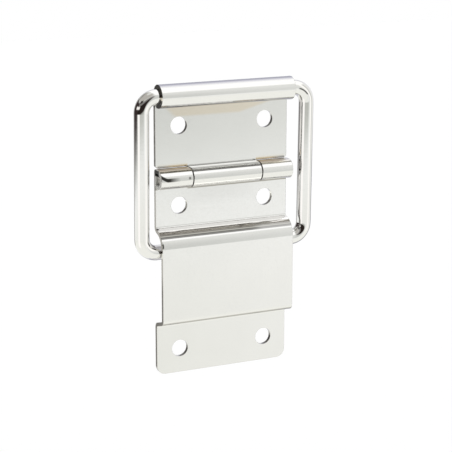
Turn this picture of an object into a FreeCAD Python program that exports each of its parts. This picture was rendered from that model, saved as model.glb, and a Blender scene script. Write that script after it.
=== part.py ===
# Lid stay for a travelling case: two folded leaves on a hinge pin, and a wire ring that hangs in
# the lid leaf's curl, slides in the case leaf's channel and holds the lid when it is open.
#
# Millimetres and degrees. X runs along the hinge, Y into the wall, Z up. The origin is the
# centre of the case leaf's four fixing holes, on the wall, so everything lies at Y below 0.
# The lid is shut: both leaves lie in one plane.
import FreeCAD, Part
import math
import os
import re

import Sketcher

Vector = FreeCAD.Vector

DIMENSIONS = {
    # the sheet of both leaves
    "sheet": 1.0,
    "leaf_width": 38.0,
    # fixing holes: two columns, two rows in the case leaf and one in the lid leaf
    "hole_diameter": 4.6,
    "hole_columns": 24.8,
    "hole_rows": 39.3,
    # sheet left between a row of holes and what comes next below or above it
    "foot_margin": 4.4,
    "return_margin": 4.15,
    "shoulder_margin": 3.05,
    "neck_margin": 2.57,
    "lid_margin": 8.62,
    "curl_margin": 2.8,
    "foot_corner": 2.4,
    "lid_corner": 0.8,
    # hinge
    "pin_diameter": 3.1,
    "pin_play": 0.05,
    "pin_recess": 0.5,
    "pin_chamfer": 0.3,
    "middle_knuckle": 19.6,
    "knuckle_gap": 0.3,
    "leaf_gap": 0.08,
    "knuckle_corner": 0.12,
    "lip_gap": 0.1,
    # steps of the case leaf on both sides of the channel
    "shoulder_slope": 73.0,
    "shoulder_bend": 3.6,
    "neck_bend": 0.5,
    "return_slope": 73.0,
    "return_bend": 0.6,
    # wire ring and the room round it
    "wire": 4.0,
    "wire_play": 0.1,
    "wall_gap": 0.3,
    "bridge_gap": 0.2,
    "side_gap": 2.65,
    "bar_headroom": 4.44,
    "ring_bend": 4.0,
    "ring_shift": 0.12,
    # curl of the lid leaf
    "curl_lip": 1.2,
}

# Lengths that follow from the ones above, as formulas in their names.
PIN_BORE = "(pin_diameter / 2 + pin_play)"
KNUCKLE = f"({PIN_BORE} + sheet)"
CURL_BORE = "(wire / 2 + wire_play)"
CURL = f"({CURL_BORE} + sheet)"
HOLE = "(hole_diameter / 2)"
CASE_BOTTOM = f"(hole_rows / 2 + {HOLE} + foot_margin)"
CHANNEL_FOOT = f"({HOLE} + return_margin - hole_rows / 2)"
CHANNEL_TOP = f"(hole_rows / 2 - {HOLE} - shoulder_margin)"
CHANNEL_DEPTH = "(wall_gap + wire + bridge_gap)"
CASE_TOP = f"(hole_rows / 2 + {HOLE} + neck_margin)"
HINGE_HEIGHT = f"({CASE_TOP} + leaf_gap + {KNUCKLE})"
LID_BOTTOM = f"({HINGE_HEIGHT} + {KNUCKLE} + leaf_gap)"
LID_HOLES = f"({LID_BOTTOM} + lid_margin + {HOLE})"
CURL_HEIGHT = f"({LID_HOLES} + {HOLE} + curl_margin + {CURL})"
OUTER_KNUCKLE_START = "(middle_knuckle / 2 + knuckle_gap)"
RING_WIDTH = "(leaf_width + 2 * side_gap + wire)"
BAR_FRONT = "(wall_gap + wire / 2)"
BAR_HEIGHT = f"({CHANNEL_TOP} - bar_headroom - wire / 2)"
RING_LEAN = f"({CURL} - {BAR_FRONT})"
RING_LENGTH = f"sqrt(({CURL_HEIGHT} - {BAR_HEIGHT}) ^ 2 + {RING_LEAN} ^ 2)"


def joggle_straight(slope, first_bend, second_bend):
    """Length of the slanted straight of a step forward or back by the channel's depth."""
    bends = f"({first_bend} + {second_bend} + sheet)"
    return f"(({CHANNEL_DEPTH} - {bends} * (1 - cos({slope}))) / sin({slope}))"


def joggle_rise(slope, first_bend, second_bend):
    """Height of such a step, from where its first bend starts to where its second one ends."""
    bends = f"({first_bend} + {second_bend} + sheet)"
    straight = joggle_straight(slope, first_bend, second_bend)
    return f"({bends} * sin({slope}) + {straight} * cos({slope}))"


SHOULDER = ("shoulder_slope", "shoulder_bend", "neck_bend")
RETURN = ("return_slope", "return_bend", "return_bend")

doc = FreeCAD.newDocument("lid_stay")
dims = doc.addObject("Spreadsheet::Sheet", "dims")
for row, (name, value) in enumerate(DIMENSIONS.items(), start=1):
    dims.set(f"A{row}", name)
    dims.set(f"B{row}", str(value))
    dims.setAlias(f"B{row}", name)
doc.recompute()


def formula(text):
    """Turn a formula in the dimensions' names into one that reads the spreadsheet."""
    def refer(match):
        word = match.group(0)
        if word not in DIMENSIONS:
            return word
        return f"dims.{word} * 1 deg" if word.endswith("_slope") else f"dims.{word}"

    return re.sub(r"[a-z_]+", refer, text)


def value_of(text):
    """The number that a formula gives now."""
    result = dims.evalExpression(formula(text))
    return float(getattr(result, "Value", result))


def bind(sketch, name, constraint, text):
    """Add a constraint whose value follows a formula."""
    index = sketch.addConstraint(constraint)
    sketch.renameConstraint(index, name)
    sketch.setExpression(f"Constraints.{name}", formula(text))


def new_body(label):
    body = doc.addObject("PartDesign::Body", label)
    body.Label = label
    return body


def origin_plane(body, role):
    return next(item for item in body.Origin.OriginFeatures if item.Role == role)


def new_sketch(body, name, role, offset=None):
    """A sketch on one of the body's origin planes, moved along its normal by a formula."""
    sketch = body.newObject("Sketcher::SketchObject", name)
    sketch.AttachmentSupport = (origin_plane(body, role), [""])
    sketch.MapMode = "FlatFace"
    if offset:
        sketch.setExpression("AttachmentOffset.Base.z", formula(offset))
    return sketch


class BentSheet:
    """The closed edge view of a bent sheet, drawn from one end to the other.

    corner is the starting corner on the right-hand side of the way the sheet runs, as the
    formulas of its distance in front of the wall and of its height. heading is 90 for a sheet
    that starts upwards and -90 for one that starts downwards.
    """

    START, END, CENTRE = 1, 2, 3

    def __init__(self, sketch, corner, heading):
        self.sketch = sketch
        self.steps = 0
        self.thickness = value_of("sheet")
        self.ahead = Vector(0, math.copysign(1, heading), 0)
        front, height = corner
        self.right = Vector(-value_of(front) if front else 0, value_of(height), 0)
        self.left = self.right + self.across() * self.thickness
        self.last = {}
        self.cap = self.line(self.left, self.right)
        bind(sketch, "thickness", Sketcher.Constraint("Distance", self.cap, self.thickness), "sheet")
        if front:
            joint = Sketcher.Constraint("DistanceX", self.cap, self.END, -1, 1, -self.right.x)
            bind(sketch, "start_front", joint, front)
        else:
            sketch.addConstraint(Sketcher.Constraint("PointOnObject", self.cap, self.END, -2))
        ends = (self.cap, self.END, -1, 1) if self.right.y < 0 else (-1, 1, self.cap, self.END)
        joint = Sketcher.Constraint("DistanceY", *ends, abs(self.right.y))
        bind(sketch, "start_height", joint, height if self.right.y > 0 else f"-1 * {height}")

    def across(self):
        """Unit vector to the left of the way the sheet runs."""
        return Vector(-self.ahead.y, self.ahead.x, 0)

    def line(self, start, end):
        return self.sketch.addGeometry(Part.LineSegment(start, end), False)

    def arc(self, centre, radius, first, second):
        circle = Part.Circle(centre, Vector(0, 0, 1), radius)
        return self.sketch.addGeometry(Part.ArcOfCircle(circle, first, second), False)

    def join(self, side, element, start, end):
        """Set an element against the one before it on its side, tangent to it."""
        if side in self.last:
            before, before_end = self.last[side]
            joint = Sketcher.Constraint("Tangent", before, before_end, element, start)
            self.sketch.addConstraint(joint)
        self.last[side] = (element, end)

    def straight(self, length):
        distance = value_of(length)
        right_end = self.right + self.ahead * distance
        left_end = self.left + self.ahead * distance
        right = self.line(self.right, right_end)
        left = self.line(self.left, left_end)
        if not self.last:
            self.start(right, left)
        self.join("right", right, self.START, self.END)
        self.join("left", left, self.START, self.END)
        self.steps += 1
        joint = Sketcher.Constraint("Distance", right, distance)
        bind(self.sketch, f"straight_{self.steps}", joint, length)
        self.right, self.left = right_end, left_end

    def start(self, right, left):
        add = self.sketch.addConstraint
        add(Sketcher.Constraint("Coincident", self.cap, self.END, right, self.START))
        add(Sketcher.Constraint("Coincident", self.cap, self.START, left, self.START))
        add(Sketcher.Constraint("Vertical", right))
        add(Sketcher.Constraint("Vertical", left))
        add(Sketcher.Constraint("Horizontal", self.cap))

    def bend(self, angle, radius, turn):
        """Turn the sheet by an angle, to the left (1) or to the right (-1)."""
        inside = value_of(radius)
        outside = inside + self.thickness
        sweep = math.radians(value_of(angle))
        inner_point = self.left if turn > 0 else self.right
        centre = inner_point + self.across() * (turn * inside)
        begin = math.atan2(-turn * self.across().y, -turn * self.across().x)
        first, second = (begin, begin + sweep) if turn > 0 else (begin - sweep, begin)
        start, end = (self.START, self.END) if turn > 0 else (self.END, self.START)
        inner = self.arc(centre, inside, first, second)
        outer = self.arc(centre, outside, first, second)
        inner_side, outer_side = ("left", "right") if turn > 0 else ("right", "left")
        self.join(inner_side, inner, start, end)
        self.join(outer_side, outer, start, end)
        self.steps += 1
        join = Sketcher.Constraint("Coincident", inner, self.CENTRE, outer, self.CENTRE)
        self.sketch.addConstraint(join)
        joint = Sketcher.Constraint("Radius", inner, inside)
        bind(self.sketch, f"bend_{self.steps}", joint, radius)
        for side, element in (("inner", inner), ("outer", outer)):
            joint = Sketcher.Constraint("Angle", element, sweep)
            bind(self.sketch, f"turn_{self.steps}_{side}", joint, angle)
        rotation = FreeCAD.Rotation(Vector(0, 0, 1), math.degrees(turn * sweep))
        self.ahead = rotation.multVec(self.ahead)
        self.right = centre + rotation.multVec(self.right - centre)
        self.left = centre + rotation.multVec(self.left - centre)

    def finish(self):
        """Close the outline with a square end."""
        cap = self.line(self.right, self.left)
        right, right_end = self.last["right"]
        left, left_end = self.last["left"]
        add = self.sketch.addConstraint
        add(Sketcher.Constraint("Coincident", cap, self.START, right, right_end))
        add(Sketcher.Constraint("Coincident", cap, self.END, left, left_end))
        add(Sketcher.Constraint("Perpendicular", cap, right))


def pad(body, name, sketch, length, symmetric=True):
    feature = body.newObject("PartDesign::Pad", name)
    feature.Profile = sketch
    feature.SideType = "Symmetric" if symmetric else "One side"
    feature.setExpression("Length", formula(length))
    doc.recompute()
    return feature


def drill(body, name, heights):
    """Drill a fixing hole in both columns at each height, right through the sheet."""
    sketch = new_sketch(body, name + "_centres", "XZ_Plane")
    radius = value_of("hole_diameter / 2")
    half = value_of("hole_columns / 2")
    for row, height in enumerate(heights, start=1):
        level = value_of(height)
        for side, across in (("left", -half), ("right", half)):
            circle = Part.Circle(Vector(across, level, 0), Vector(0, 0, 1), radius)
            hole = sketch.addGeometry(circle, False)
            tag = f"{side}_{row}"
            joint = Sketcher.Constraint("Diameter", hole, 2 * radius)
            bind(sketch, f"bore_{tag}", joint, "hole_diameter")
            ends = (hole, 3, -1, 1) if across < 0 else (-1, 1, hole, 3)
            joint = Sketcher.Constraint("DistanceX", *ends, half)
            bind(sketch, f"across_{tag}", joint, "hole_columns / 2")
            ends = (hole, 3, -1, 1) if level < 0 else (-1, 1, hole, 3)
            joint = Sketcher.Constraint("DistanceY", *ends, abs(level))
            bind(sketch, f"up_{tag}", joint, f"-1 * ({height})" if level < 0 else height)
    doc.recompute()
    before = body.Shape.Volume
    pocket = body.newObject("PartDesign::Pocket", name)
    pocket.Profile = sketch
    pocket.Type = "ThroughAll"
    pocket.SideType = "Symmetric"
    doc.recompute()
    if body.Shape.Volume >= before:
        raise RuntimeError(f"{name} cut nothing")
    return pocket


def round_corners(body, name, height, radius):
    """Round the two corners of a leaf at a height, seen from the front."""
    level = value_of(height)
    side = value_of("leaf_width / 2")
    near = 0.01
    corners = []
    for number, edge in enumerate(body.Shape.Edges, start=1):
        ends = [vertex.Point for vertex in edge.Vertexes]
        on_corner = all(
            abs(abs(end.x) - side) < near and abs(end.z - level) < near for end in ends
        )
        if on_corner and abs(ends[0].x - ends[-1].x) < near:
            corners.append(f"Edge{number}")
    if len(corners) != 2:
        raise RuntimeError(f"{name} found {len(corners)} corners")
    base = body.Tip
    fillet = body.newObject("PartDesign::Fillet", name)
    fillet.Base = (base, corners)
    fillet.setExpression("Radius", formula(radius))
    doc.recompute()
    return fillet


def make_lower_leaf():
    """Case leaf: foot, channel, neck and two outer knuckles, folded from one sheet."""
    body = new_body("lower_leaf")
    profile = new_sketch(body, "case_profile", "YZ_Plane")
    sheet = BentSheet(profile, (None, f"-1 * {CASE_BOTTOM}"), 90)
    sheet.straight(f"{CHANNEL_FOOT} + {CASE_BOTTOM}")
    sheet.bend("return_slope", "return_bend", 1)
    sheet.straight(joggle_straight(*RETURN))
    sheet.bend("return_slope", "return_bend", -1)
    steps = f"{joggle_rise(*RETURN)} - {joggle_rise(*SHOULDER)}"
    sheet.straight(f"{CHANNEL_TOP} - {CHANNEL_FOOT} - {steps}")
    sheet.bend("shoulder_slope", "shoulder_bend", -1)
    sheet.straight(joggle_straight(*SHOULDER))
    sheet.bend("shoulder_slope", "neck_bend", 1)
    sheet.straight(f"{CASE_TOP} - {CHANNEL_TOP}")
    sheet.finish()
    pad(body, "case_sheet", profile, "leaf_width")

    roll = new_sketch(body, "outer_roll", "YZ_Plane", OUTER_KNUCKLE_START)
    sheet = BentSheet(roll, (None, CASE_TOP), 90)
    sheet.straight(f"leaf_gap + 2 * {KNUCKLE} - sheet - knuckle_corner")
    sheet.bend("90", "knuckle_corner", 1)
    sheet.straight(f"{PIN_BORE} - knuckle_corner")
    sheet.bend("180", PIN_BORE, 1)
    sheet.straight(f"{PIN_BORE} - lip_gap")
    sheet.finish()
    knuckle = pad(body, "outer_knuckle", roll, f"leaf_width / 2 - {OUTER_KNUCKLE_START}", False)
    twin = body.newObject("PartDesign::Mirrored", "other_knuckle")
    twin.Originals = [knuckle]
    twin.MirrorPlane = (origin_plane(body, "YZ_Plane"), [""])
    body.Tip = twin
    doc.recompute()

    body.Tip = drill(body, "case_holes", ["hole_rows / 2", "hole_rows / -2"])
    body.Tip = round_corners(body, "foot_corners", f"-1 * {CASE_BOTTOM}", "foot_corner")
    return body


def make_upper_leaf():
    """Lid leaf: plate, curl round the ring's top bar and the middle knuckle."""
    body = new_body("upper_leaf")
    profile = new_sketch(body, "lid_profile", "YZ_Plane")
    sheet = BentSheet(profile, (None, LID_BOTTOM), 90)
    sheet.straight(f"{CURL_HEIGHT} - {LID_BOTTOM}")
    sheet.bend("270", CURL_BORE, 1)
    sheet.straight("curl_lip")
    sheet.finish()
    pad(body, "lid_sheet", profile, "leaf_width")
    body.Tip = round_corners(body, "lid_corners", LID_BOTTOM, "lid_corner")

    roll = new_sketch(body, "middle_roll", "YZ_Plane")
    sheet = BentSheet(roll, ("sheet", LID_BOTTOM), -90)
    sheet.straight(f"{LID_BOTTOM} - {HINGE_HEIGHT}")
    sheet.bend("270", PIN_BORE, -1)
    sheet.straight(f"{PIN_BORE} - lip_gap")
    sheet.finish()
    body.Tip = pad(body, "knuckle_roll", roll, "middle_knuckle")
    body.Tip = drill(body, "lid_holes", [LID_HOLES])
    return body


def make_hinge_pin():
    """Straight pin with broken edges, a little shorter than the leaves are wide."""
    body = new_body("hinge_pin")
    section = new_sketch(body, "pin_section", "YZ_Plane")
    centre = Vector(-value_of(KNUCKLE), value_of(HINGE_HEIGHT), 0)
    radius = value_of("pin_diameter / 2")
    circle = section.addGeometry(Part.Circle(centre, Vector(0, 0, 1), radius), False)
    bind(section, "size", Sketcher.Constraint("Diameter", circle, 2 * radius), "pin_diameter")
    bind(section, "front", Sketcher.Constraint("DistanceX", circle, 3, -1, 1, -centre.x), KNUCKLE)
    joint = Sketcher.Constraint("DistanceY", -1, 1, circle, 3, centre.y)
    bind(section, "height", joint, HINGE_HEIGHT)
    rod = pad(body, "pin_rod", section, "leaf_width - 2 * pin_recess")
    rims = [
        f"Edge{number}"
        for number, edge in enumerate(rod.Shape.Edges, start=1)
        if edge.isClosed()
    ]
    chamfer = body.newObject("PartDesign::Chamfer", "pin_ends")
    chamfer.Base = (rod, rims)
    chamfer.setExpression("Size", formula("pin_chamfer"))
    body.Tip = chamfer
    doc.recompute()
    return body


def make_stay_ring():
    """Closed ring of round wire with four equal bends, hung from its top bar.

    It is drawn with its top bar on the X axis, and then hung in the curl and tilted so that its
    lower bar lies in the channel, a little in front of the wall.
    """
    body = new_body("stay_ring")
    path = new_sketch(body, "ring_path", "XZ_Plane")
    bend = value_of("ring_bend")
    side = value_of(f"{RING_WIDTH} / 2")
    length = value_of(RING_LENGTH)
    run = side - bend
    corners = [
        (Vector(run, -bend, 0), 0.0),
        (Vector(-run, -bend, 0), 0.5),
        (Vector(-run, bend - length, 0), 1.0),
        (Vector(run, bend - length, 0), 1.5),
    ]
    ends = [
        (Vector(run, 0, 0), Vector(-run, 0, 0)),
        (Vector(-side, -bend, 0), Vector(-side, bend - length, 0)),
        (Vector(-run, -length, 0), Vector(run, -length, 0)),
        (Vector(side, bend - length, 0), Vector(side, -bend, 0)),
    ]
    arcs = []
    bars = []
    for (centre, quarter), (start, end) in zip(corners, ends):
        circle = Part.Circle(centre, Vector(0, 0, 1), bend)
        first = quarter * math.pi
        arcs.append(path.addGeometry(Part.ArcOfCircle(circle, first, first + math.pi / 2), False))
        bars.append(path.addGeometry(Part.LineSegment(start, end), False))
    add = path.addConstraint
    for number in range(4):
        add(Sketcher.Constraint("Tangent", arcs[number], 2, bars[number], 1))
        add(Sketcher.Constraint("Tangent", bars[number], 2, arcs[(number + 1) % 4], 1))
    for number in range(3):
        add(Sketcher.Constraint("Equal", arcs[number], arcs[number + 1]))
    top, left, bottom, right = bars
    add(Sketcher.Constraint("PointOnObject", top, 1, -1))
    add(Sketcher.Constraint("Horizontal", top))
    add(Sketcher.Constraint("Horizontal", bottom))
    add(Sketcher.Constraint("Vertical", left))
    add(Sketcher.Constraint("Vertical", right))
    bind(path, "corner", Sketcher.Constraint("Radius", arcs[0], bend), "ring_bend")
    joint = Sketcher.Constraint("DistanceX", -1, 1, right, 1, side)
    bind(path, "half", joint, f"{RING_WIDTH} / 2")
    joint = Sketcher.Constraint("DistanceX", left, 1, right, 2, 2 * side)
    bind(path, "width", joint, RING_WIDTH)
    joint = Sketcher.Constraint("DistanceY", bottom, 1, -1, 1, length)
    bind(path, "drop", joint, RING_LENGTH)

    section = new_sketch(body, "wire_section", "YZ_Plane")
    radius = value_of("wire / 2")
    circle = section.addGeometry(Part.Circle(Vector(), Vector(0, 0, 1), radius), False)
    add = section.addConstraint
    add(Sketcher.Constraint("Coincident", circle, 3, -1, 1))
    bind(section, "size", Sketcher.Constraint("Diameter", circle, 2 * radius), "wire")
    wire = body.newObject("PartDesign::AdditivePipe", "bent_wire")
    wire.Profile = section
    wire.Spine = (path, [f"Edge{number}" for number in range(1, 9)])
    doc.recompute()

    tilt = f"asin({RING_LEAN} / {RING_LENGTH})"
    body.Placement = FreeCAD.Placement(Vector(), FreeCAD.Rotation(Vector(1, 0, 0), 1.0))
    body.setExpression("Placement.Base.x", formula("ring_shift"))
    body.setExpression("Placement.Base.y", formula(f"-1 * {CURL}"))
    body.setExpression("Placement.Base.z", formula(CURL_HEIGHT))
    body.setExpression("Placement.Rotation.Angle", formula(tilt))
    doc.recompute()
    return body


bodies = [make_lower_leaf(), make_hinge_pin(), make_upper_leaf(), make_stay_ring()]
doc.recompute()

failed = [item.Name for item in doc.Objects if {"Invalid", "Error"} & set(item.State)]
if failed:
    raise RuntimeError(f"failed: {failed}")
os.makedirs("parts", exist_ok=True)
for body in bodies:
    shape = body.Shape
    if shape.isNull() or not shape.isValid() or len(shape.Solids) != 1:
        raise RuntimeError(f"{body.Label} is not one sound solid")
    shape.exportStep(f"parts/{body.Label}.step")
    box = shape.BoundBox
    print(f"{body.Label}: {shape.Volume:.1f} mm3, {box}")
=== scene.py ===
"""Looks of the lid stay: plated steel sheet and wire in a white studio. Metres and degrees."""

import math

import bpy
from mathutils import Matrix, Vector


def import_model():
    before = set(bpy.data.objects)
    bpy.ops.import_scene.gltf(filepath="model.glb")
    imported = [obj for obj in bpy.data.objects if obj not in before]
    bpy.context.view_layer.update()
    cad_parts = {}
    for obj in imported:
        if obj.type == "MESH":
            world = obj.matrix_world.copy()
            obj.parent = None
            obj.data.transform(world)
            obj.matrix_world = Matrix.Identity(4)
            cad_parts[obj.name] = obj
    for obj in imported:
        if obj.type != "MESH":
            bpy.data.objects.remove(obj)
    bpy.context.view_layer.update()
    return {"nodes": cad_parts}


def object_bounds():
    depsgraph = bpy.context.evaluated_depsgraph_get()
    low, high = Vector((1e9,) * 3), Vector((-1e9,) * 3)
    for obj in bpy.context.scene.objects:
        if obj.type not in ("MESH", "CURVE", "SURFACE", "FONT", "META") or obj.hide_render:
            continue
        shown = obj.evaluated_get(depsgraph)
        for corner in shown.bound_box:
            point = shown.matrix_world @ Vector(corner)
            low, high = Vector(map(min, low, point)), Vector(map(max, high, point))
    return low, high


# The camera, fitted to the six holes and the edges of the leaves in the photograph.
CAMERA_AZIMUTH = -25.129
CAMERA_ELEVATION = 13.842
CAMERA_ROLL = 0.109
CAMERA_DISTANCE = 0.406136
CAMERA_TARGET = (0.001663, 0.0, 0.0123265)
CAMERA_LENS = 120.917
SENSOR_WIDTH = 36.0

# The floor lies well below the part, which is fixed to a wall in use.
FLOOR_DROP = 0.16
FLOOR_SIZE = 4.0
FLOOR_LEVEL = 0.9
FLOOR_GLOW = 0.15

# Grey levels of what lights the matt surfaces and of what the camera sees behind the part.
LIGHT_LEVEL = 0.95
BACKDROP_LEVEL = 1.0

# The studio that only the metal mirrors, from the floor up: height in degrees and colour there,
# for its left and its right side, and the turns between which one becomes the other. A turn of 0
# is in front of the part, and 90 is on its right.
LEFT_WALL = (
    (-24.0, (1.17, 1.175, 1.12, 1.0)),
    (-18.3, (1.085, 1.095, 1.04, 1.0)),
    (-15.2, (1.13, 1.14, 1.10, 1.0)),
    (-13.3, (1.19, 1.205, 1.195, 1.0)),
    (-12.6, (1.14, 1.16, 1.14, 1.0)),
    (-11.3, (0.92, 0.94, 0.91, 1.0)),
    (-9.6, (0.79, 0.805, 0.775, 1.0)),
    (6.0, (0.81, 0.82, 0.79, 1.0)),
    (30.0, (0.94, 0.95, 0.92, 1.0)),
)
RIGHT_WALL = (
    (-24.0, (1.19, 1.195, 1.14, 1.0)),
    (-17.8, (1.165, 1.17, 1.14, 1.0)),
    (-15.0, (1.20, 1.20, 1.165, 1.0)),
    (-13.1, (1.255, 1.265, 1.265, 1.0)),
    (-12.4, (1.22, 1.23, 1.22, 1.0)),
    (-11.1, (1.08, 1.10, 1.07, 1.0)),
    (-9.5, (0.965, 0.98, 0.95, 1.0)),
    (6.0, (0.99, 1.0, 0.98, 1.0)),
    (30.0, (1.03, 1.04, 1.01, 1.0)),
)
WALLS_MEET = (21.0, 29.0)

# Patches of light and dark in that studio, each laid over the ones before it: the colour, then the
# turns and the heights that it covers, each as lowest, highest and how far the edges fade.
PATCHES = (
    # the right-hand side, from behind to the front, and a dark floor there
    ((1.33, 1.32, 1.31, 1.0), (106.0, 200.0, 8.0), (-20.0, 100.0, 2.0)),
    ((1.10, 1.10, 1.08, 1.0), (78.0, 106.0, 4.0), (-14.0, 42.0, 2.0)),
    ((0.80, 0.80, 0.78, 1.0), (60.0, 78.0, 4.0), (-14.0, 42.0, 6.0)),
    ((0.12, 0.115, 0.11, 1.0), (102.0, 150.0, 5.0), (-60.0, -11.0, 2.0)),
    ((1.40, 1.38, 1.34, 1.0), (40.0, 60.0, 4.0), (-24.0, 50.0, 2.0)),
    # a grey band in front, and a light low on the left
    ((0.62, 0.63, 0.59, 1.0), (-44.0, 14.0, 5.0), (-12.5, -6.0, 2.0)),
    ((1.38, 1.35, 1.33, 1.0), (-78.0, -50.0, 4.0), (-40.0, -9.0, 2.0)),
    # greys on the left that darken from the top down
    ((0.62, 0.60, 0.56, 1.0), (-165.0, 8.0, 8.0), (38.0, 72.0, 4.0)),
    ((0.40, 0.39, 0.37, 1.0), (-175.0, -132.0, 8.0), (30.0, 54.0, 5.0)),
    ((0.28, 0.27, 0.26, 1.0), (-150.0, 14.0, 6.0), (14.0, 34.0, 4.0)),
    ((0.040, 0.034, 0.030, 1.0), (-84.0, -46.0, 6.0), (30.0, 42.0, 2.5)),
    # dark panels on the left, a grey one behind them, and a lamp between them
    ((0.028, 0.021, 0.018, 1.0), (-100.0, 12.0, 5.0), (-8.0, 20.0, 2.0)),
    ((0.050, 0.036, 0.036, 1.0), (-152.0, -82.0, 5.0), (-12.0, 30.0, 2.0)),
    ((0.44, 0.43, 0.41, 1.0), (-176.0, -152.0, 4.0), (-24.0, 24.0, 2.0)),
    ((1.30, 1.26, 1.22, 1.0), (-108.0, -58.0, 5.0), (7.0, 18.0, 3.0)),
)

# Last come a light over the right-hand side, and a cool wall behind it that fades upwards.
TOP_LIGHT = (1.42, 1.42, 1.42, 1.0)
TOP_LIGHT_HEIGHTS = (35.0, 40.0)
TOP_LIGHT_TURNS = (8.0, 24.0)
BACK_WALL = (0.78, 0.78, 0.84, 1.0)
BACK_WALL_HEIGHTS = (60.0, 20.0)
BACK_WALL_TURNS = (90.0, 150.0)

# Painted reflections in stripes along the knuckles' tops, from the plate to the front: how far
# each one's front and back edge stand in front of the wall, in millimetres, and its colour.
CASE_CROWN_REFLECTIONS = (
    (1.2, 0.9, (0.60, 0.53, 0.42, 1.0)),
    (2.6, 1.2, (1.0, 0.98, 0.91, 1.0)),
    (3.3, 2.6, (0.40, 0.31, 0.235, 1.0)),
    (3.7, 3.3, (0.45, 0.39, 0.33, 1.0)),
    (4.05, 3.7, (0.51, 0.47, 0.37, 1.0)),
    (4.33, 4.05, (0.46, 0.44, 0.38, 1.0)),
)
LID_CROWN_REFLECTIONS = (
    (3.25, 1.15, (0.99, 0.99, 0.98, 1.0)),
    (3.7, 3.25, (0.34, 0.335, 0.32, 1.0)),
    (4.16, 3.7, (0.85, 0.85, 0.83, 1.0)),
    (4.5, 4.16, (0.22, 0.215, 0.205, 1.0)),
)

# The painted reflections on the shoulder, as stripes in the same way.
SHOULDER_REFLECTIONS = (
    (2.93, 2.55, (1.0, 0.99, 0.97, 1.0)),
    (3.27, 2.93, (0.41, 0.385, 0.36, 1.0)),
    (3.55, 3.27, (0.75, 0.72, 0.67, 1.0)),
    (3.83, 3.55, (0.41, 0.385, 0.35, 1.0)),
    (4.08, 3.83, (0.135, 0.128, 0.11, 1.0)),
    (4.28, 4.08, (0.31, 0.30, 0.265, 1.0)),
    (4.48, 4.28, (0.07, 0.07, 0.062, 1.0)),
    (4.68, 4.48, (0.14, 0.138, 0.125, 1.0)),
)
STRIPE_EDGE = 0.07

# Colours of the metal, of its wear, and of the painted light and shade laid on it.
PLATE_DARK = (0.705, 0.70, 0.685, 1.0)
PLATE_LIGHT = (0.74, 0.735, 0.72, 1.0)
PLATE_GRAIN = (0.66, 0.655, 0.645, 1.0)
PIN_DARK = (0.62, 0.60, 0.57, 1.0)
PIN_LIGHT = (0.78, 0.76, 0.72, 1.0)
WORN_EDGE = (0.34, 0.32, 0.30, 1.0)
END_HIGHLIGHT = (0.97, 0.97, 0.95, 1.0)
CURL_END_HIGHLIGHT = (0.95, 0.88, 0.78, 1.0)
LEFT_SIDE_HIGHLIGHT = (0.93, 0.92, 0.87, 1.0)
MIDDLE_KNUCKLE_HIGHLIGHT = (0.97, 0.96, 0.94, 1.0)
KNUCKLE_REFLECTION_LINE = (0.575, 0.575, 0.56, 1.0)
CURL_RIDGE_REFLECTION = (0.36, 0.36, 0.42, 1.0)
TAN_REFLECTION = (0.59, 0.495, 0.365, 1.0)
PALE_TAN_REFLECTION = (0.70, 0.655, 0.56, 1.0)
CURL_SHADOW = (0.70, 0.633, 0.53, 1.0)
BROWN_SHADE = (0.10, 0.06, 0.03, 1.0)
SILL_SHADE = (0.46, 0.45, 0.42, 1.0)
# dull grey of the sheared faces, also laid on as painted shade in places
DULL_GREY_AND_SHADE = (0.42, 0.41, 0.40, 1.0)
LEDGE_GREY = (0.34, 0.325, 0.285, 1.0)
LEFT_SIDE_SHADE = (0.30, 0.29, 0.27, 1.0)
CREASE_SHADE = (0.14, 0.12, 0.10, 1.0)
SHADE = (0.10, 0.09, 0.085, 1.0)
BLACK = (0.02, 0.018, 0.015, 1.0)

# Areas of the metal. Each gives, for some of its measures, the lowest value, the highest one and
# how far the edges fade, with None for an open side. x, y and z are places in millimetres, and
# beside is how far x is from the middle. normal_x and the like say which way a flat face looks,
# and facing_x and the like say the same with rounded edges. lower_right is one where a hole's wall
# is at its lower right, and lifted is z less the lift of the knuckles' shadow.
HOLE_WALL_SHADE = {
    "beside": (9.9, 15.0, 0.1), "y": (-1.06, None, 0.04), "lower_right": (0.6, None, 0.15),
}
KNUCKLE_FRONT = {"z": (26.97, 27.27, 0.07), "y": (None, -4.975, 0.075)}
KNUCKLE_BOTTOM_SHADE = {
    "z": (24.3, 25.4, 0.05), "y": (None, -3.0, 0.1), "normal_z": (None, -0.895, 0.055),
}
KNUCKLE_CROWN = {"z": (28.9, 30.0, 0.05), "normal_z": (0.4, None, 0.1)}
CRESCENT_FRONT = {"y": (None, -4.3, 0.1)}
DENT_SHADE = {"z": (27.2, 27.85, 0.2), "x": (-11.3, -10.8, 0.25), "y": (None, -4.3, 0.1)}

SHOULDER_REFLECTION_AREA = {"z": (11.3, 14.2, 0.15)}
NECK_CLOUD = {"z": (20.0, 25.0, 1.5), "x": (-9.0, 8.0, 5.0), "y": (-1.15, None, 0.05)}
CROWN_REFLECTION_REACH = {"x": (None, 17.25, 2.25)}
NECK_TOP = {"lifted": (23.88, 24.5, 0.1), "y": (-1.15, None, 0.05)}
NECK_TOP_FRONT = {"y": (None, -0.7, 0.1)}
LEFT_KNUCKLE_BOTTOM_SHADE = {
    "z": (24.7, 25.36, 0.08), "y": (None, -3.975, 0.075), "x": (None, -9.75, 0.25),
    "normal_z": (None, -0.65, 0.05),
}
LEFT_KNUCKLE_END = {
    "x": (None, -18.15, 0.15), "z": (24.5, 29.9, 0.05), "y": (None, -1.0, 0.05),
    "normal_x": (None, -0.65, 0.15),
}
LEFT_KNUCKLE_HOLLOW_SHADE = {"z": (28.0, 29.62, 0.1), "x": (None, -18.0, 0.1), "y": (-3.3, -0.5, 0.1)}
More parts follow.
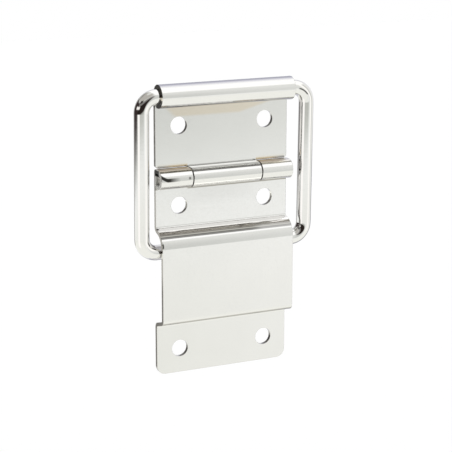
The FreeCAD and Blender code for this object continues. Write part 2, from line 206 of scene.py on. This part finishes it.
PIN_RECESS = {"x": (-19.1, -18.0, 0.05), "z": (25.3, 27.8, 0.1), "y": (-4.3, -0.8, 0.1)}
STEP_CORNER_DARK_REFLECTION = {"x": (-19.1, -18.4, 0.1), "z": (13.4, 14.3, 0.1), "y": (-1.9, -1.15, 0.15)}
BRIDGE_CORNER_DARK_REFLECTION = {"x": (-19.1, -18.6, 0.1), "z": (9.5, 10.9, 0.2), "y": (None, -5.225, 0.075)}
CASE_LEFT_SIDE = {"normal_x": (None, -0.875, 0.075), "z": (None, 24.0, 0.2)}
BRIDGE_SILL_SHADE = {"z": (-11.6, -10.95, 0.08), "y": (None, -4.7, 0.1)}

# Where the plate comes out from under the curl, and where the lid leaf ends.
CURL_FOOT = 46.1
LID_FOOT = 29.88

LID_PLATE = {"y": (-1.2, None, 0.1)}
CURL_BOTTOM_SHADE = {"z": (45.8, 46.9, 0.05), "y": (None, -3.0, 0.1), "normal_z": (None, -0.77, 0.05)}
LEFT_FACES = {"normal_x": (None, -0.875, 0.075)}
OUTER_PLATE = {"beside": (9.95, 18.4, 0.12), "y": (-1.2, None, 0.1)}
FOOT_WARM_REFLECTION = {"z": (None, LID_FOOT + 0.85, 0.45)}
FOOT_TAN_REFLECTION = {"z": (None, LID_FOOT + 0.57, 0.15)}
FOOT_EDGE_SHADE = {"z": (None, LID_FOOT + 0.13, 0.03)}
MIDDLE_KNUCKLE_LOW = {"z": (25.2, 25.9, 0.08), "y": (None, -3.0, 0.1)}
MIDDLE_KNUCKLE_CORNER = {"beside": (None, 9.75, 0.15), "z": (29.7, 30.9, 0.1)}
MIDDLE_KNUCKLE_SHADE_LINE = {"y": (-1.2, None, 0.1), "z": (29.8, 30.14, 0.05)}
KNUCKLE_LIP = {"z": (29.15, 30.25, 0.15)}
CURL_RIDGE = {"z": (51.675, None, 0.425)}
CURL_LEFT_END = {
    "normal_x": (None, -0.875, 0.075), "x": (None, -18.65, 0.15), "z": (45.75, None, 0.05),
}
CURL_LEFT_GAP_SHADE = {"z": (48.3, 49.5, 0.2)}

UPPER_RIGHT_BEND_REFLECTION = {
    "facing_y": (None, -0.9955, 0.0025), "x": (20.6, 24.0, 0.4), "z": (47.2, None, 0.2),
}
LOWER_LEFT_INSIDE_REFLECTION = {
    "x": (-22.0, -20.2, 0.15), "z": (9.0, 12.4, 0.3), "y": (-3.6, -2.8, 0.1),
    "facing_x": (0.2, None, 0.1),
}
LOWER_LEFT_BOTTOM_SHADE = {
    "x": (-21.8, -18.0, 0.5), "facing_z": (None, -0.8, 0.08), "z": (None, 8.75, 0.25),
}
PIN_LEFT_END = {"x": (None, -18.15, 0.15), "z": (27.85, None, 0.1)}

# How the leaves' fixing holes lie in height: the middle, and the holes' reach from it.
CASE_HOLES = (0.0, (17.0, 22.3, 0.1))
LID_HOLES = (40.8, (0.0, 2.7, 0.1))

# The way that the lower right of a hole's wall faces, along X and Z.
LOWER_RIGHT = (-0.77, 0.64)

# Between these depths the middle knuckle's top is shaded as if it rose so steeply to the wall.
LIP_DEPTHS = (-2.4, -1.4)
LIP_RISE = 0.36

# Fades along the leaves: from where to where, and from how much to how much. The painted
# reflections on the shoulder are fainter on the right, and the knuckles' shadow on the neck is
# higher on the left.
SHOULDER_REFLECTION_FADE = (7.0, 11.0, 1.0, 0.7)
SHADOW_LIFT = (-10.2, -9.8, 0.3, 0.0)
CASE_SIDE_FADE = (-3.0, 3.0)
CURL_SHADE_FADE = (-17.0, 17.0)
FOOT_FADE = (13.5, 17.5)

# The painted warm shadow under the curl: its height, and its slanted right and left bounds.
CURL_SHADOW_FADE = (CURL_FOOT - 3.4, CURL_FOOT - 2.5)
CURL_SHADOW_SLANT_START = 5.0
CURL_SHADOW_SLANT = 0.27
CURL_SHADOW_LEFT = (CURL_FOOT - 17.4, CURL_FOOT - 15.4)

# The painted dark reflection at the left knuckle's end: its line rises from this height over this
# length, and it fades in over that one.
CRESCENT_HEIGHT = 27.44
CRESCENT_RISE = 0.9
CRESCENT_RISE_POWER = 1.3
CRESCENT_RISE_START = -17.2
CRESCENT_RISE_LENGTH = 1.7
CRESCENT_START = -13.6
CRESCENT_LENGTH = 3.0
CRESCENT_WIDTH = (-0.52, 0.42, 0.14)

# Roundings of the edges and distances at which surfaces count as close, in metres.
LEAF_ROUNDING = 0.00016
WIRE_ROUNDING = 0.0001
PIN_ROUNDING = 0.0001
LEAF_CREASE = 0.0006
WIRE_CREASE = 0.0009

# The grain's scale and its height in metres, its detail, and the scales of the other noises.
LEAF_GRAIN = (3400.0, 0.000004)
WIRE_GRAIN = (500.0, 0.000003)
PIN_GRAIN = (2500.0, 0.00001)
GRAIN_DETAIL = 4.0
GRAIN_SHARPNESS = 0.6
PLATE_CLOUDS = 110.0
PLATE_SATIN = 2800.0
SIDE_CLOUDS = 900.0
PIN_CLOUDS = 800.0

# The scale, the detail and the range of the roughness of each finish.
LEAF_ROUGHNESS = (2600.0, 2.0, 0.08, 0.14)
WIRE_ROUGHNESS = (900.0, 2.0, 0.03, 0.06)
PIN_ROUGHNESS = (1500.0, 3.0, 0.45, 0.65)
RECESS_ROUGHNESS = 0.55
MILLIMETRES = 1000.0
DEGREES = 180 / math.pi


def node_tree(owner):
    """An empty node tree of a material or a world."""
    owner.use_nodes = True
    tree = owner.node_tree
    tree.nodes.clear()
    return tree


def grey(level):
    return (level, level, level, 1.0)


class Nodes:
    """Short calls that add shader nodes to one tree."""

    def __init__(self, tree):
        self.tree = tree

    def add(self, kind, **settings):
        node = self.tree.nodes.new(kind)
        for name, value in settings.items():
            setattr(node, name, value)
        return node

    def feed(self, socket, value):
        """Put a number, a colour or another node's output into a socket."""
        if isinstance(value, bpy.types.NodeSocket):
            self.tree.links.new(value, socket)
        else:
            socket.default_value = value

    def split(self, vector):
        """The three parts of a vector."""
        node = self.add("ShaderNodeSeparateXYZ")
        self.feed(node.inputs[0], vector)
        return tuple(node.outputs)

    def math(self, operation, first, second=0.0, clamp=False):
        node = self.add("ShaderNodeMath", operation=operation, use_clamp=clamp)
        self.feed(node.inputs[0], first)
        self.feed(node.inputs[1], second)
        return node.outputs[0]

    def times(self, *shares):
        """The product of several shares."""
        product = shares[0]
        for share in shares[1:]:
            product = self.math("MULTIPLY", product, share)
        return product

    def either(self, *shares):
        """The highest of several shares."""
        highest = shares[0]
        for share in shares[1:]:
            highest = self.math("MAXIMUM", highest, share)
        return highest

    def smooth(self, value, low, high, start=0.0, end=1.0):
        """A smooth step from start to end as value goes from low to high."""
        node = self.add("ShaderNodeMapRange", interpolation_type="SMOOTHSTEP")
        for name, number in (("Value", value), ("From Min", low), ("From Max", high)):
            self.feed(node.inputs[name], number)
        self.feed(node.inputs["To Min"], start)
        self.feed(node.inputs["To Max"], end)
        return node.outputs["Result"]

    def window(self, value, low, high, edge):
        """One between low and high and nothing outside, with soft edges; None is an open side."""
        shares = []
        if low is not None:
            shares.append(self.smooth(value, low - edge, low + edge))
        if high is not None:
            shares.append(self.smooth(value, high - edge, high + edge, 1.0, 0.0))
        return self.times(*shares)

    def blend(self, share, first, second):
        """Mix two colours."""
        node = self.add("ShaderNodeMix", data_type="RGBA")
        self.feed(node.inputs["Factor"], share)
        self.feed(node.inputs["A"], first)
        self.feed(node.inputs["B"], second)
        return next(out for out in node.outputs if out.type == "RGBA")

    def ramp(self, value, stops):
        """Colours along value, from stops that are pairs of a value and its colour."""
        low, high = stops[0][0], stops[-1][0]
        share = self.add("ShaderNodeMapRange")
        for name, number in (("Value", value), ("From Min", low), ("From Max", high)):
            self.feed(share.inputs[name], number)
        node = self.add("ShaderNodeValToRGB")
        self.feed(node.inputs[0], share.outputs["Result"])
        elements = node.color_ramp.elements
        while len(elements) < len(stops):
            elements.new(1.0)
        for element, (place, colour) in zip(elements, stops):
            element.position = (place - low) / (high - low)
            element.color = colour
        return node.outputs[0]

    def noise(self, where, scale, detail=3.0, roughness=0.5):
        node = self.add("ShaderNodeTexNoise")
        self.feed(node.inputs["Vector"], where)
        self.feed(node.inputs["Scale"], scale)
        self.feed(node.inputs["Detail"], detail)
        self.feed(node.inputs["Roughness"], roughness)
        return node.outputs[0]

    def background(self, colour):
        node = self.add("ShaderNodeBackground")
        self.feed(node.inputs["Color"], colour)
        return node.outputs[0]

    def choose(self, share, first, second):
        """Mix two shaders."""
        node = self.add("ShaderNodeMixShader")
        for socket, value in zip(node.inputs, (share, first, second)):
            self.feed(socket, value)
        return node.outputs[0]


def build_world():
    """White behind the part, and a studio of floor, walls and a soft top that the metal mirrors."""
    world = bpy.data.worlds.new("studio")
    bpy.context.scene.world = world
    nodes = Nodes(node_tree(world))
    direction = nodes.add("ShaderNodeTexCoord").outputs["Generated"]
    along, into, up = nodes.split(direction)
    height = nodes.math("MULTIPLY", nodes.math("ARCSINE", up), DEGREES)
    forward = nodes.math("MULTIPLY", into, -1.0)
    turn = nodes.math("MULTIPLY", nodes.math("ARCTAN2", along, forward), DEGREES)

    left = nodes.ramp(height, LEFT_WALL)
    right = nodes.ramp(height, RIGHT_WALL)
    studio = nodes.blend(nodes.smooth(turn, *WALLS_MEET), left, right)
    for colour, turns, heights in PATCHES:
        share = nodes.times(nodes.window(turn, *turns), nodes.window(height, *heights))
        studio = nodes.blend(share, studio, colour)
    top = nodes.smooth(height, *TOP_LIGHT_HEIGHTS)
    top = nodes.times(top, nodes.smooth(turn, *TOP_LIGHT_TURNS))
    studio = nodes.blend(top, studio, TOP_LIGHT)
    back = nodes.smooth(turn, *BACK_WALL_TURNS)
    back = nodes.times(back, nodes.smooth(height, *BACK_WALL_HEIGHTS))
    studio = nodes.blend(back, studio, BACK_WALL)

    path = nodes.add("ShaderNodeLightPath")
    light = nodes.background(grey(LIGHT_LEVEL))
    lit = nodes.choose(path.outputs["Is Glossy Ray"], light, nodes.background(studio))
    backdrop = nodes.background(grey(BACKDROP_LEVEL))
    seen = nodes.choose(path.outputs["Is Camera Ray"], lit, backdrop)
    output = nodes.add("ShaderNodeOutputWorld")
    nodes.feed(output.inputs["Surface"], seen)


def floor_material():
    """Matt white, with a little glow of its own so that it blends into the backdrop."""
    material = bpy.data.materials.new("floor_white")
    nodes = Nodes(node_tree(material))
    path = nodes.add("ShaderNodeLightPath")
    matt = nodes.add("ShaderNodeBsdfDiffuse")
    nodes.feed(matt.inputs["Color"], grey(FLOOR_LEVEL))
    glow = nodes.add("ShaderNodeEmission")
    nodes.feed(glow.inputs["Color"], grey(1.0))
    strength = nodes.math("MULTIPLY", path.outputs["Is Camera Ray"], FLOOR_GLOW)
    nodes.feed(glow.inputs["Strength"], strength)
    both = nodes.add("ShaderNodeAddShader")
    nodes.feed(both.inputs[0], matt.outputs[0])
    nodes.feed(both.inputs[1], glow.outputs[0])
    output = nodes.add("ShaderNodeOutputMaterial")
    nodes.feed(output.inputs["Surface"], both.outputs[0])
    return material


def build_floor():
    low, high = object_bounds()
    level = low[2] - FLOOR_DROP
    half = FLOOR_SIZE / 2
    dark_corner_reflections = [(x * half, y * half, level) for x, y in ((-1, -1), (1, -1), (1, 1), (-1, 1))]
    mesh = bpy.data.meshes.new("floor")
    mesh.from_pydata(dark_corner_reflections, [], [(0, 1, 2, 3)])
    mesh.materials.append(floor_material())
    floor = bpy.data.objects.new("floor", mesh)
    bpy.context.scene.collection.objects.link(floor)
    floor.visible_glossy = False


class Metal(Nodes):
    """One metal finish: cloudy variation, fine grain, worn edges, and painted shade in creases."""

    def __init__(self, name, rounding):
        self.material = bpy.data.materials.new(name)
        super().__init__(node_tree(self.material))
        self.place = self.add("ShaderNodeTexCoord").outputs["Object"]
        self.rounded = self.add("ShaderNodeBevel", samples=8).outputs[0]
        self.feed(self.rounded.node.inputs["Radius"], rounding)
        places = self.split(self.place)
        self.x, self.y, self.z = (self.math("MULTIPLY", out, MILLIMETRES) for out in places)
        geometry = self.add("ShaderNodeNewGeometry")
        self.flat_normal = geometry.outputs["True Normal"]
        self.normal_x, self.normal_y, self.normal_z = self.split(self.flat_normal)
        self.facing_x, self.facing_y, self.facing_z = self.split(self.rounded)

    def area(self, bounds):
        """One in an area and nothing outside, from its bounds along some of the measures."""
        windows = [self.window(getattr(self, name), *bound) for name, bound in bounds.items()]
        return self.times(*windows)

    def tint(self, colour, share, other, most=1.0):
        """Blend a colour towards another one by a share."""
        if most < 1.0:
            share = self.math("MULTIPLY", share, most)
        return self.blend(share, colour, other)

    def plating(self):
        """Bright plating with faint clouds and a fine satin grain."""
        clouds = self.noise(self.place, PLATE_CLOUDS, 2.0)
        colour = self.blend(clouds, PLATE_DARK, PLATE_LIGHT)
        grain = self.noise(self.place, PLATE_SATIN, 2.0)
        return self.tint(colour, self.smooth(grain, 0.55, 0.75), PLATE_GRAIN, 0.5)

    def uneven(self, scale, detail, least, most):
        """A roughness that varies between two values."""
        return self.smooth(self.noise(self.place, scale, detail), 0.3, 0.7, least, most)

    def edges(self):
        """One along the rounded edges and nothing on the faces."""
        dot = self.add("ShaderNodeVectorMath", operation="DOT_PRODUCT")
        self.feed(dot.inputs[0], self.rounded)
        self.feed(dot.inputs[1], self.flat_normal)
        return self.smooth(dot.outputs["Value"], 0.955, 0.88)

    def creases(self, reach):
        """One in creases and gaps and nothing in the open: where shade is painted."""
        node = self.add("ShaderNodeAmbientOcclusion", samples=8)
        self.feed(node.inputs["Distance"], reach)
        return self.smooth(node.outputs["AO"], 0.8, 0.3)

    def stripes(self, colour, bands, share):
        """Lay painted reflection stripes that run along the hinge."""
        for far, near, shade in bands:
            band = self.window(self.y, -far, -near, STRIPE_EDGE)
            colour = self.tint(colour, self.times(band, share), shade)
        return colour

    def bump(self, height, distance, normal):
        node = self.add("ShaderNodeBump")
        self.feed(node.inputs["Strength"], 1.0)
        self.feed(node.inputs["Distance"], distance)
        self.feed(node.inputs["Height"], height)
        self.feed(node.inputs["Normal"], normal)
        return node.outputs[0]

    def finish(self, colour, roughness, grain, shape=None):
        """The material, from its colour, its roughness, its grain and a shape in millimetres."""
        shader = self.add("ShaderNodeBsdfPrincipled")
        self.feed(shader.inputs["Base Color"], colour)
        self.feed(shader.inputs["Metallic"], 1.0)
        self.feed(shader.inputs["Roughness"], roughness)
        normal = self.rounded
        if shape is not None:
            normal = self.bump(shape, 1 / MILLIMETRES, normal)
        scale, depth = grain
        fine = self.noise(self.place, scale, GRAIN_DETAIL, GRAIN_SHARPNESS)
        normal = self.bump(fine, depth, normal)
        self.feed(shader.inputs["Normal"], normal)
        output = self.add("ShaderNodeOutputMaterial")
        self.feed(output.inputs["Surface"], shader.outputs[0])
        return self.material


def leaf_metal(name, holes):
    """Sheet metal as far as both leaves share it: returns the finish, its colour and roughness."""
    middle, reach = holes
    metal = Metal(name, LEAF_ROUNDING)
    metal.beside = metal.math("ABSOLUTE", metal.x)
    sheared = metal.smooth(metal.math("ABSOLUTE", metal.normal_x), 0.8, 0.95)
    colour = metal.tint(metal.plating(), sheared, DULL_GREY_AND_SHADE, 0.3)
    across = metal.math("MULTIPLY", metal.normal_x, LOWER_RIGHT[0])
    upwards = metal.math("MULTIPLY", metal.normal_z, LOWER_RIGHT[1])
    metal.lower_right = metal.math("ADD", across, upwards)
    level = metal.math("ABSOLUTE", metal.math("SUBTRACT", metal.z, middle))
    # painted shade on the lower right of the holes' walls
    shaded_walls = metal.times(metal.area(HOLE_WALL_SHADE), metal.window(level, *reach))
    colour = metal.tint(colour, shaded_walls, SHADE, 0.92)
    return metal, colour, metal.uneven(*LEAF_ROUGHNESS)


def knuckles(metal, colour):
    """A painted grey reflection along the front of the knuckles, and painted shade under them."""
    colour = metal.tint(colour, metal.area(KNUCKLE_FRONT), KNUCKLE_REFLECTION_LINE)
    return metal.tint(colour, metal.area(KNUCKLE_BOTTOM_SHADE), CREASE_SHADE, 0.95)


def wear_and_shade(metal, colour, spared):
    """Dull edges and painted shade in creases, over a leaf's own tints except where spared."""
    left = metal.math("SUBTRACT", 1.0, spared)
    colour = metal.tint(colour, metal.times(metal.edges(), left), WORN_EDGE, 0.75)
    return metal.tint(colour, metal.times(metal.creases(LEAF_CREASE), left), CREASE_SHADE, 0.9)


def before(metal, start, length):
    """How far x lies before start, as a share of a length."""
    return metal.math("MULTIPLY", metal.math("SUBTRACT", start, metal.x), 1 / length, clamp=True)


def dark_crescent(metal, colour):
    """A painted dark reflection at the left knuckle's end, running out along its front."""
    bent = metal.math("POWER", before(metal, CRESCENT_RISE_START, CRESCENT_RISE_LENGTH), CRESCENT_RISE_POWER)
    line = metal.math("ADD", metal.math("MULTIPLY", bent, CRESCENT_RISE), CRESCENT_HEIGHT)
    across = metal.window(metal.math("SUBTRACT", metal.z, line), *CRESCENT_WIDTH)
    along = before(metal, CRESCENT_START, CRESCENT_LENGTH)
    dark = metal.times(across, along, metal.area(CRESCENT_FRONT))
    colour = metal.tint(colour, dark, BLACK, 0.97)
    # painted shade of a dent on the knuckle's front
    return metal.tint(colour, metal.area(DENT_SHADE), SHADE, 0.9)


def case_leaf():
    """The lower leaf has painted reflections on its shoulder and tan ones on its knuckles."""
    metal, colour, roughness = leaf_metal("case_leaf_plating", CASE_HOLES)
    # painted reflection stripes on the shoulder, fainter on the right
    shoulder_reflections = metal.times(metal.area(SHOULDER_REFLECTION_AREA), metal.smooth(metal.x, *SHOULDER_REFLECTION_FADE))
    colour = metal.stripes(colour, SHOULDER_REFLECTIONS, shoulder_reflections)
    colour = metal.tint(colour, metal.area(NECK_CLOUD), DULL_GREY_AND_SHADE, 0.12)
    # painted reflection stripes on the knuckles' tops, fading out at the right end
    crown = metal.area(KNUCKLE_CROWN)
    colour = metal.stripes(colour, CASE_CROWN_REFLECTIONS, metal.times(crown, metal.area(CROWN_REFLECTION_REACH)))
    # the knuckles' painted reflection line and shade, and a painted dark reflection at the left end
    colour = dark_crescent(metal, knuckles(metal, colour))

    # the neck's top lies in the knuckles' shadow
    metal.lifted = metal.math("SUBTRACT", metal.z, metal.smooth(metal.x, *SHADOW_LIFT))
    neck_top = metal.times(metal.area(NECK_TOP), metal.area(NECK_TOP_FRONT))
    colour = metal.tint(colour, neck_top, LEDGE_GREY)
    # painted shade under the left knuckle
    colour = metal.tint(colour, metal.area(LEFT_KNUCKLE_BOTTOM_SHADE), CREASE_SHADE, 0.6)

    # painted highlight on the left knuckle's end and in the pin's recess, and painted shade in the
    # hollow above the pin
    end = metal.area(LEFT_KNUCKLE_END)
    recess = metal.area(PIN_RECESS)
    colour = wear_and_shade(metal, colour, metal.either(crown, end, recess))
    colour = metal.tint(colour, metal.either(end, recess), END_HIGHLIGHT, 0.9)
    colour = metal.tint(colour, metal.area(LEFT_KNUCKLE_HOLLOW_SHADE), BLACK, 0.97)

    # painted dark reflections at the left ends of the step and of the bridge
    dark_corner_reflections = metal.either(metal.area(STEP_CORNER_DARK_REFLECTION), metal.area(BRIDGE_CORNER_DARK_REFLECTION))
    colour = metal.tint(colour, dark_corner_reflections, BLACK, 0.9)
    # the left-facing faces: painted shade low down, and a painted warm highlight higher up
    left_side_light = metal.blend(metal.smooth(metal.z, *CASE_SIDE_FADE), LEFT_SIDE_SHADE, LEFT_SIDE_HIGHLIGHT)
    colour = metal.tint(colour, metal.area(CASE_LEFT_SIDE), left_side_light, 0.8)
    # painted shade along the bottom of the bridge
    colour = metal.tint(colour, metal.area(BRIDGE_SILL_SHADE), SILL_SHADE)
    roughness = metal.either(roughness, metal.math("MULTIPLY", recess, RECESS_ROUGHNESS))
    return metal.finish(colour, roughness, LEAF_GRAIN)


def curl_shadow(metal):
    """Painted tan shadow under the curl, lower on the left and cut off at a slant on both sides."""
    past = metal.either(metal.math("SUBTRACT", metal.x, CURL_SHADOW_SLANT_START), 0.0)
    slanted = metal.math("SUBTRACT", metal.z, metal.math("MULTIPLY", past, CURL_SHADOW_SLANT))
    high = metal.smooth(slanted, *CURL_SHADOW_FADE)
    start = metal.smooth(metal.math("ADD", metal.x, metal.z), *CURL_SHADOW_LEFT)
    return metal.times(high, start, metal.area(LID_PLATE))


def lip(metal):
    """The middle knuckle's top as a shape: how far it stands out, in millimetres."""
    behind, front = LIP_DEPTHS
    depth = metal.math("MAXIMUM", metal.math("MINIMUM", metal.y, front), behind)
    depth = metal.math("SUBTRACT", depth, front)
    return metal.math("MULTIPLY", metal.times(depth, metal.area(KNUCKLE_LIP)), LIP_RISE)


def lid_leaf():
    """Painted tan shadow under the upper leaf's curl and tan reflections over the outer knuckles.
    """
    metal, colour, roughness = leaf_metal("lid_leaf_plating", LID_HOLES)
    # painted warm shadow under the curl
    colour = metal.tint(colour, curl_shadow(metal), CURL_SHADOW, 0.85)
    # painted shade along the curl's bottom edge, darker on the left
    line = metal.blend(metal.smooth(metal.x, *CURL_SHADE_FADE), SHADE, DULL_GREY_AND_SHADE)
    colour = metal.tint(colour, metal.area(CURL_BOTTOM_SHADE), line, 0.9)
    rough_side = metal.times(metal.area(LEFT_FACES), metal.noise(metal.place, SIDE_CLOUDS))
    colour = metal.tint(colour, rough_side, SHADE)

    # the foot over the outer knuckles: painted warm, then tan reflections,
    # and painted brown shade at its very edge
    outer = metal.area(OUTER_PLATE)
    colour = metal.tint(colour, metal.times(metal.area(FOOT_WARM_REFLECTION), outer), PALE_TAN_REFLECTION, 0.6)
    foot = metal.times(metal.area(FOOT_TAN_REFLECTION), outer)
    foot_reflection = metal.blend(metal.smooth(metal.beside, *FOOT_FADE), TAN_REFLECTION, DULL_GREY_AND_SHADE)
    colour = metal.tint(colour, foot, foot_reflection)
    colour = metal.tint(colour, metal.times(metal.area(FOOT_EDGE_SHADE), outer), BROWN_SHADE)

    # painted reflection stripes on the knuckles' tops, and the knuckles' painted reflection line
    # and shade
    colour = knuckles(metal, metal.stripes(colour, LID_CROWN_REFLECTIONS, metal.area(KNUCKLE_CROWN)))
    # painted highlight low on the middle knuckle
    colour = metal.tint(colour, metal.area(MIDDLE_KNUCKLE_LOW), MIDDLE_KNUCKLE_HIGHLIGHT)
    corner = metal.area(MIDDLE_KNUCKLE_CORNER)
    colour = wear_and_shade(metal, colour, metal.either(foot, corner))
    # painted shade in the crease above the middle knuckle
    crease_shade = metal.times(corner, metal.area(MIDDLE_KNUCKLE_SHADE_LINE))
    colour = metal.tint(colour, crease_shade, DULL_GREY_AND_SHADE, 0.6)

    # painted cool reflection along the curl's ridge
    colour = metal.tint(colour, metal.area(CURL_RIDGE), CURL_RIDGE_REFLECTION)
    # the curl's left end: painted shade at the wire's height, and a painted highlight above and
    # below
    curl_end_light = metal.blend(metal.area(CURL_LEFT_GAP_SHADE), BLACK, CURL_END_HIGHLIGHT)
    colour = metal.tint(colour, metal.area(CURL_LEFT_END), curl_end_light, 0.95)
    return metal.finish(colour, roughness, LEAF_GRAIN, lip(metal))


def wire_metal():
    """The ring is smoother: painted shade in creases, painted dark reflections in two bends."""
    metal = Metal("ring_plating", WIRE_ROUNDING)
    # painted shade in the ring's creases
    colour = metal.tint(metal.plating(), metal.creases(WIRE_CREASE), CREASE_SHADE, 0.9)
    # painted dark reflection along the front of the upper right bend
    colour = metal.tint(colour, metal.area(UPPER_RIGHT_BEND_REFLECTION), BLACK, 0.85)
    # painted dark reflection inside the lower left bend, and painted shade along its bottom
    lower_left_reflection_and_shade = metal.either(metal.area(LOWER_LEFT_INSIDE_REFLECTION), metal.area(LOWER_LEFT_BOTTOM_SHADE))
    colour = metal.tint(colour, lower_left_reflection_and_shade, SHADE, 0.9)
    return metal.finish(colour, metal.uneven(*WIRE_ROUGHNESS), WIRE_GRAIN)


def pin_metal():
    """The pin is plain bright wire, dull at its ends and black where the left one is in shadow."""
    metal = Metal("pin_steel", PIN_ROUNDING)
    colour = metal.blend(metal.noise(metal.place, PIN_CLOUDS), PIN_DARK, PIN_LIGHT)
    colour = metal.tint(colour, metal.area(PIN_LEFT_END), BLACK, 0.95)
    return metal.finish(colour, metal.uneven(*PIN_ROUGHNESS), PIN_GRAIN)


def dress(node, material):
    mesh = node.data
    mesh.materials.clear()
    mesh.materials.append(material)


def build_camera():
    azimuth = math.radians(CAMERA_AZIMUTH)
    elevation = math.radians(CAMERA_ELEVATION)
    back = Vector((
        math.sin(azimuth) * math.cos(elevation),
        -math.cos(azimuth) * math.cos(elevation),
        math.sin(elevation),
    ))
    right = Vector((math.cos(azimuth), math.sin(azimuth), 0.0))
    right = Matrix.Rotation(math.radians(CAMERA_ROLL), 3, back) @ right
    above = back.cross(right)
    data = bpy.data.cameras.new("camera")
    data.lens = CAMERA_LENS
    data.sensor_width = SENSOR_WIDTH
    camera = bpy.data.objects.new("camera", data)
    bpy.context.scene.collection.objects.link(camera)
    turned = Matrix((right, above, back)).transposed().to_4x4()
    place = Vector(CAMERA_TARGET) + back * CAMERA_DISTANCE
    camera.matrix_world = Matrix.Translation(place) @ turned
    bpy.context.scene.camera = camera


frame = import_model()
bpy.context.scene.view_settings.view_transform = "Standard"
build_world()
build_floor()
build_camera()
dress(frame["nodes"]["lower_leaf"], case_leaf())
dress(frame["nodes"]["upper_leaf"], lid_leaf())
dress(frame["nodes"]["hinge_pin"], pin_metal())
dress(frame["nodes"]["stay_ring"], wire_metal())
